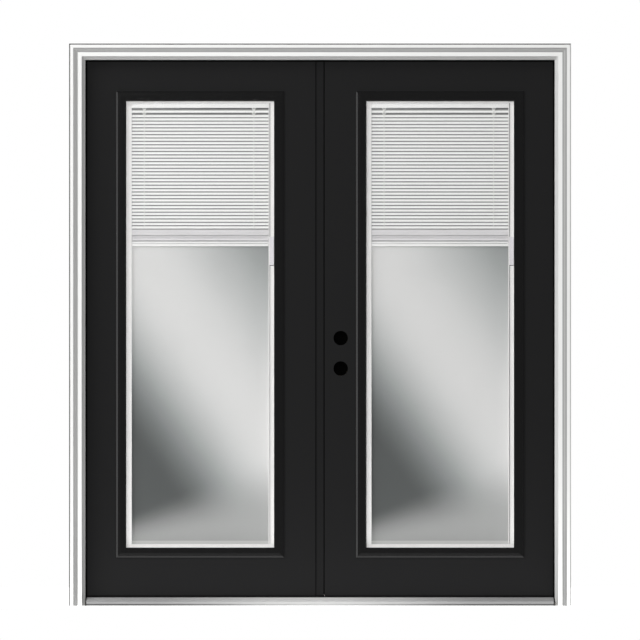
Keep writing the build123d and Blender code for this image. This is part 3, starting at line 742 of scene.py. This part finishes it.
slat_length = 0.5114
slat_width = 0.0146
slat_crown = 0.001
slat_steps = 6
slat_thickness = 0.00022
hanging_tilt = 72
stack_tilt = 14
slab_middle = 0.093675
first_slat = 1.8509
second_slat = 1.8343
slat_pitch = 0.01263
slat_count = 35
stack_slats = 88
stack_room = 0.0028
slat_drift = 0.0003
drawn_in = 0.0016
drawn_cycle = 11
drawn_slats = (4, 9)
loose_top = 1.3846
loose_slats = ((1.3809, 31), (1.3716, 47), (1.3639, 16))
ladders = (-0.209, 0.201)
ladder_half = 0.0034
upright_radius = 0.0012
rung_radius = 0.0003
rung_drop = 0.008
rung_rise = 0.004
yoke_radius = 0.0014
yoke_lean = 0.0060
yoke_depth = 0.0052
yoke_start = 0.006
yoke_end = 0.004


def slat(tilt):
    """One crowned slat at the origin, turned by a tilt in degrees."""
    put_down_tools()
    bpy.ops.mesh.primitive_grid_add(x_subdivisions=1, y_subdivisions=slat_steps, size=1)
    piece = named("slat")
    piece.scale = (slat_length, slat_width, 1)
    set_down(piece)
    rows = sorted({round(abs(vertex.co.y), 6) for vertex in piece.data.vertices})
    for row in rows[:-1]:
        pick(piece)
        bpy.ops.object.mode_set(mode="EDIT")
        bpy.ops.mesh.select_mode(type="VERT")
        bpy.ops.mesh.select_all(action="DESELECT")
        bpy.ops.object.mode_set(mode="OBJECT")
        for vertex in piece.data.vertices:
            vertex.select = abs(abs(vertex.co.y) - row) < 1e-5
        bpy.ops.object.mode_set(mode="EDIT")
        rise = slat_crown * (1 - (2 * row / slat_width) ** 2)
        bpy.ops.transform.translate(value=(0, 0, rise))
        bpy.ops.object.mode_set(mode="OBJECT")
    wall = piece.modifiers.new("wall", "SOLIDIFY")
    wall.thickness = slat_thickness
    wall.offset = 0
    bpy.ops.object.modifier_apply(modifier=wall.name)
    piece.rotation_euler = (math.radians(tilt), 0, 0)
    return smooth(set_down(piece), 50)


def thread(name, start, end, radius):
    """A straight length of ladder thread between two points."""
    start, end = Vector(start), Vector(end)
    run = end - start
    put_down_tools()
    middle = (start + end) / 2
    bpy.ops.mesh.primitive_cylinder_add(vertices=6, radius=radius, depth=run.length, location=middle)
    piece = named(name)
    piece.rotation_euler = run.to_track_quat("Z", "Y").to_euler()
    return smooth(set_down(piece), 70)


def ladder(x, bottom, top, heights):
    """Two uprights with a rung under each slat, and a yoke of two threads at each of the two top slats."""
    near, far = slab_middle - ladder_half, slab_middle + ladder_half
    threads = [thread("upright", (x, y, bottom), (x, y, top), upright_radius) for y in (near, far)]
    for height in heights:
        back, front = (x, far, height + rung_rise), (x, near, height - rung_drop)
        threads.append(thread("rung", front, back, rung_radius))
    y = slab_middle - yoke_depth
    for first, last in ((top, first_slat - yoke_end), (first_slat - yoke_start, second_slat - yoke_end)):
        for lean in (-yoke_lean, yoke_lean):
            threads.append(thread("yoke", (x + lean, y, first - 0.0006), (x, y, last), yoke_radius))
    return threads


def hanging_slats(side):
    """The slats that hang from the headrail, and the ladders that carry them."""
    node = f"{side}_blind_slats"
    centre = hands[side] * lite_centre
    top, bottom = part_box(node)[1].z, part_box(node)[0].z
    pattern = slat(hanging_tilt)
    heights = [first_slat] + [second_slat - number * slat_pitch for number in range(slat_count - 1)]
    slats = [copied(pattern, "slat", (centre, slab_middle, height)) for height in heights]
    bpy.data.objects.remove(pattern)
    threads = []
    for place in ladders:
        threads += ladder(centre + place, bottom, top, heights)
    for piece, finish, slot in (
        (joined(f"{side}_hanging_slats", slats), "slat_white", "slat_white"),
        (joined(f"{side}_ladders", threads), "ladder_thread", "slat_white"),
    ):
        hung(piece, finish, f"{side}_door", slot, node)
        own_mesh(piece)


def gathered_slats(side):
    """The slats that lie on the bottom rail."""
    node = f"{side}_blind_stack"
    centre = hands[side] * lite_centre
    low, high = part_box(node)
    pattern = slat(stack_tilt)
    chance = random.Random(4)
    heights = spread(high.z - stack_room, loose_top + stack_room, stack_slats - len(loose_slats))
    slats = []
    for number, height in enumerate(heights):
        drift = chance.uniform(-slat_drift, slat_drift)
        drift += drawn_in if number % drawn_cycle in drawn_slats else 0.0
        slats.append(copied(pattern, "slat", (centre, slab_middle + drift, height)))
    for height, tilt in loose_slats:
        loose = slat(tilt)
        slats.append(copied(loose, "slat", (centre, slab_middle, height)))
        bpy.data.objects.remove(loose)
    bpy.data.objects.remove(pattern)
    piece = joined(f"{side}_gathered_slats", slats)
    coat(piece, "stack_white")
    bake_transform(piece)
    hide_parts(node)


def headrail(side):
    """A channel with a lip along its front and a guide for each ladder."""
    node = f"{side}_blind_headrail"
    low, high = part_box(node)
    centre = hands[side] * lite_centre
    channel = bar("channel", low, high)
    sink(channel, lambda middle, normal: normal.z > 0.9, 0.0012, 0.0165)
    parts = [rounded(channel, 0.0006, 2)]
    for place in ladders:
        x = centre + place
        guide_low = (x - 0.009, slab_middle - 0.006, low.z - 0.0006)
        guide_high = (x + 0.009, slab_middle + 0.006, low.z + 0.001)
        parts.append(rounded(bar("guide", guide_low, guide_high), 0.0004, 2))
    hung(joined(f"{side}_headrail", parts), "rail_white", f"{side}_door", "blind_rail_white", node)


def bottom_rail(side):
    """A rail in two halves that clip together, with an end cap on each end."""
    node = f"{side}_blind_bottom_rail"
    low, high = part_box(node)
    seam = high.z - 0.0072
    seam_gap = 0.0012
    cap = 0.0032
    start, end = low.x + 0.003, high.x - 0.003
    upper = bar("upper", (start, low.y + 0.0004, seam + seam_gap), (end, high.y - 0.0004, high.z))
    lower = bar("lower", (start, low.y, low.z), (end, high.y, seam))
    parts = [rounded(upper, 0.0012, 3), rounded(lower, 0.0018, 3)]
    for x in (low.x, high.x - cap):
        parts.append(rounded(bar("cap", (x, low.y, low.z), (x + cap, high.y, high.z)), 0.0012, 3))
    rail = joined(f"{side}_bottom_rail", parts)
    hung(rail, "rail_white", f"{side}_blind_foot", "blind_rail_white", node)


def carriage(side):
    """The carriage in its track between the panes: two cheeks astride the track's lip, and under them a black
    pad that stands in for the carriage's shadow.
    """
    node = f"{side}_blind_operator"
    low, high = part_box(node)
    track_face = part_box(f"{side}_blind_frame")[1].y
    web = 0.0022
    shade_pad = 0.0022
    lip_middle = slab_middle - 0.0063
    lip_half = 0.0013
    parts = []
    for near, far in ((low.y, lip_middle - lip_half), (lip_middle + lip_half, track_face - 0.0003)):
        cheek = bar("cheek", (low.x, near, low.z + shade_pad), (high.x, far, high.z))
        sink(cheek, lambda middle, normal: abs(normal.y) > 0.9, 0.0028, 0.0008)
        parts.append(rounded(cheek, 0.0014, 3))
    link = bar("web", (low.x, lip_middle - 0.002, low.z), (low.x + web, lip_middle + 0.002, high.z))
    parts.append(rounded(link, 0.0003, 1))
    body = joined(f"{side}_carriage", parts)
    hung(body, "operator_plastic", f"{side}_blind_foot", "operator_plastic", node)
    # A black pad put where the carriage's shadow falls, as painted shadow.
    pad = bar(f"{side}_carriage_felt", low, (high.x, lip_middle - lip_half, low.z + shade_pad))
    hung(rounded(pad, 0.0003, 1), "sweep_rubber", f"{side}_blind_foot", "sweep_rubber")


def handle(side):
    """The grip in the room that moves the carriage, with seven ribs across it."""
    low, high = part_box(f"{side}_blind_operator")
    pane_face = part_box(f"{side}_inner_pane")[1].y
    middle = (low.z + high.z) / 2
    half = 0.038
    raised = 0.0012
    grip_low = (low.x, pane_face + 0.0003, middle - half)
    grip_high = (high.x, high.y - raised, middle + half)
    grip = sink(bar("grip", grip_low, grip_high), lambda place, normal: normal.y > 0.9, 0.003, -raised)
    parts = [rounded(grip, 0.0022, 4)]
    x, y = (low.x + high.x) / 2, high.y - 0.0008
    for height in spread(middle - 0.0165, middle + 0.0165, 7):
        rib = rod("rib", (x, y, height), 0.0008, high.x - low.x - 0.006, "X", 12)
        parts.append(rounded(rib, 0.0003, 2))
    hung(joined(f"{side}_handle", parts), "operator_plastic", f"{side}_blind_foot", "operator_plastic")


for side in hands:
    hanging_slats(side)
    gathered_slats(side)
    headrail(side)
    bottom_rail(side)
    carriage(side)
    handle(side)


# --- Screw plugs round the room side of the lites ---


def screw_plugs(side):
    """Flush discs over the screws that draw the two lite frames together."""
    low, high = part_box(f"{side}_interior_lite_frame")
    inset = 0.026
    plug_radius, plug_height = 0.0045, 0.0008
    left, right = low.x + inset, high.x - inset
    bottom, top = low.z + inset, high.z - inset
    upright_end, level_end = 0.06, 0.09
    places = []
    for height in spread(bottom + upright_end, top - upright_end, 6):
        places += [(left, height), (right, height)]
    for x in spread(left + level_end, right - level_end, 3):
        places += [(x, bottom), (x, top)]
    disc = rod("disc", (0, 0, 0), plug_radius, plug_height, "Y", 20)
    sink(disc, lambda centre, normal: normal.y > 0.9, 0.0008, 0.0003)
    smooth(disc)
    discs = [copied(disc, "disc", (x, high.y - 0.0003, height)) for x, height in places]
    bpy.data.objects.remove(disc)
    hung(joined(f"{side}_screw_plugs", discs), "lite_plastic", f"{side}_door", "lite_plastic")


for side in hands:
    screw_plugs(side)


# --- Flush bolts and the bores for the lock ---


bolt_radius = 0.00476
thumb_distance = 0.190
thumb_half = 0.01
thumb_proud = 0.0008
bore_x = 0.0773
bore_heights = (1.0005, 0.8866)
# A black disc in each bore stands in for the shade inside the hole.
shade_disc_radius = 0.02705
shade_disc_thickness = 0.0024


def flush_bolt(end):
    """A round bolt with a rounded nose and a ribbed thumb piece."""
    node = f"{end}_flush_bolt"
    low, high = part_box(node)
    x = low.x + bolt_radius
    y = (low.y + high.y) / 2
    shank = rod("shank", (x, y, (low.z + high.z) / 2), bolt_radius, high.z - low.z, "Z", 28)
    parts = [rounded(shank, 0.001, 3)]
    thumb = high.z - thumb_distance if end == "top" else low.z + thumb_distance
    face = high.x - thumb_proud
    pad = bar("pad", (x, y - 0.0035, thumb - thumb_half), (face, y + 0.0035, thumb + thumb_half))
    parts.append(rounded(pad, 0.0008, 2))
    for height in spread(thumb - 0.0068, thumb + 0.0068, 5):
        parts.append(rod("rib", (face, y, height), 0.0007, 0.0062, "Y", 10))
    hung(smooth(joined(f"{end}_bolt", parts)), "bolt_steel", f"{end}_bolt", "bolt_steel", node)


flush_bolt("top")
flush_bolt("bottom")


def bore_shade_disc(name, height):
    """A black disc inside a bore that stands in for the shade in the hole."""
    cover = rod(name, (bore_x, slab_middle, height), shade_disc_radius, shade_disc_thickness, "Y", 64)
    sink(cover, lambda centre, normal: abs(normal.y) > 0.9, 0.003, 0.0006)
    hung(rounded(cover, 0.0003, 2), "bore_shade_black", "right_door", "sweep_rubber")


for number, height in enumerate(bore_heights, 1):
    bore_shade_disc(f"bore_shade_disc_{number}", height)


# --- Floor, light and camera ---


floor_place = (0, 1.8, 0)
floor_size = (9, 4.5, 1)
light_aim = (0, 0, 1.0)
camera_place = (-0.0002, -60.0, 1.0682)
shown_width = 2.392
sensor_width = 36.0


def floor():
    """Pale ground from just in front of the unit back into the room."""
    put_down_tools()
    bpy.ops.mesh.primitive_plane_add(size=1, location=floor_place)
    piece = named("floor")
    piece.scale = floor_size
    set_down(piece)
    pale = (0.9, 0.9, 0.9)
    finish = Finish("floor_finish", pale, 0.7, Emission_Color=grey(1.0), Emission_Strength=1.2)
    clouds = finish.noise(1.2, detail=3.0)
    finish.put("Base Color", finish.mixed(clouds, *shades(pale, 0.97)))
    piece.data.materials.append(finish.material)


def light(name, place, width, height, power, mirrored=True):
    """A soft box at a place, turned to the unit. One that isn't mirrored lights without a reflection."""
    data = bpy.data.lights.new(name, "AREA")
    data.shape = "RECTANGLE"
    data.size = width
    data.size_y = height
    data.energy = power
    lamp = bpy.data.objects.new(name, data)
    bpy.context.scene.collection.objects.link(lamp)
    lamp.location = place
    lamp.visible_glossy = mirrored
    lamp.rotation_euler = (Vector(light_aim) - Vector(place)).to_track_quat("-Z", "Y").to_euler()


def surroundings(lit, seen):
    """Even pale light all round, and a white ground behind the unit."""
    world = bpy.data.worlds.new("studio")
    bpy.context.scene.world = world
    world.use_nodes = True
    tree = world.node_tree
    ground = tree.nodes["Background"]
    ground.inputs["Color"].default_value = (1, 1, 1, 1)
    path = tree.nodes.new("ShaderNodeLightPath")
    level = tree.nodes.new("ShaderNodeMapRange")
    level.inputs["To Min"].default_value = lit
    level.inputs["To Max"].default_value = seen
    tree.links.new(path.outputs["Is Camera Ray"], level.inputs["Value"])
    tree.links.new(level.outputs[0], ground.inputs["Strength"])


def camera():
    """A long lens straight in front. The picture is as wide as the shown width where y is 0."""
    data = bpy.data.cameras.new("camera")
    data.sensor_width = sensor_width
    data.lens = sensor_width * -camera_place[1] / shown_width
    data.clip_end = 200.0
    piece = bpy.data.objects.new("camera", data)
    bpy.context.scene.collection.objects.link(piece)
    piece.location = camera_place
    piece.rotation_euler = (math.pi / 2, 0, 0)
    bpy.context.scene.camera = piece


floor()
surroundings(0.17, 1.0)
light("front", (-0.7, -7.0, 1.9), 1.2, 1.2, 290, mirrored=False)
light("key", (-2.7, -4.6, 4.2), 2.2, 2.2, 80)
light("fill", (3.1, -4.6, 3.8), 2.2, 2.2, 12)
light("left_wall", (-4.0, -3.4, 1.0), 2.0, 3.6, 50)
light("room_fill", (2.4, 4.0, 2.2), 2.4, 2.4, 150)
camera()
bpy.context.scene.view_settings.view_transform = "Standard"
